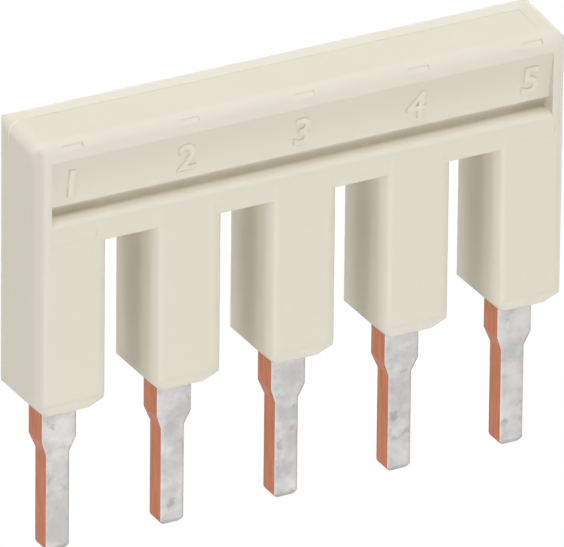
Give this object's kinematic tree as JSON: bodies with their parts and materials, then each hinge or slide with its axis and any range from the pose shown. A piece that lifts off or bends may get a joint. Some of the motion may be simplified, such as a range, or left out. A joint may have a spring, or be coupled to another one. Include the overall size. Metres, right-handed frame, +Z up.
{
  "type": "terminal block jumper bar",
  "caption": "Insulated comb jumper: a moulded plastic bar with a row of legs and tinned copper pins, plugged across neighbouring terminal blocks to join them electrically.",
  "frame": {"origin": "middle of the row of pins, on the plane of the leg ends, where the bare pins leave the housing", "axes": "+X along the row of poles, +Y from front to back, +Z up from the pins to the top of the housing"},
  "size_m": [0.0242, 0.0036, 0.0191],
  "materials": {
    "housing_plastic": "satin moulded polyamide",
    "tinned_copper": "tinned front and back faces, bare copper cut edges"
  },
  "bodies": {
    "root": {"housing": "housing_plastic", "contact_comb": "tinned_copper"}
  },
  "joints": []
}
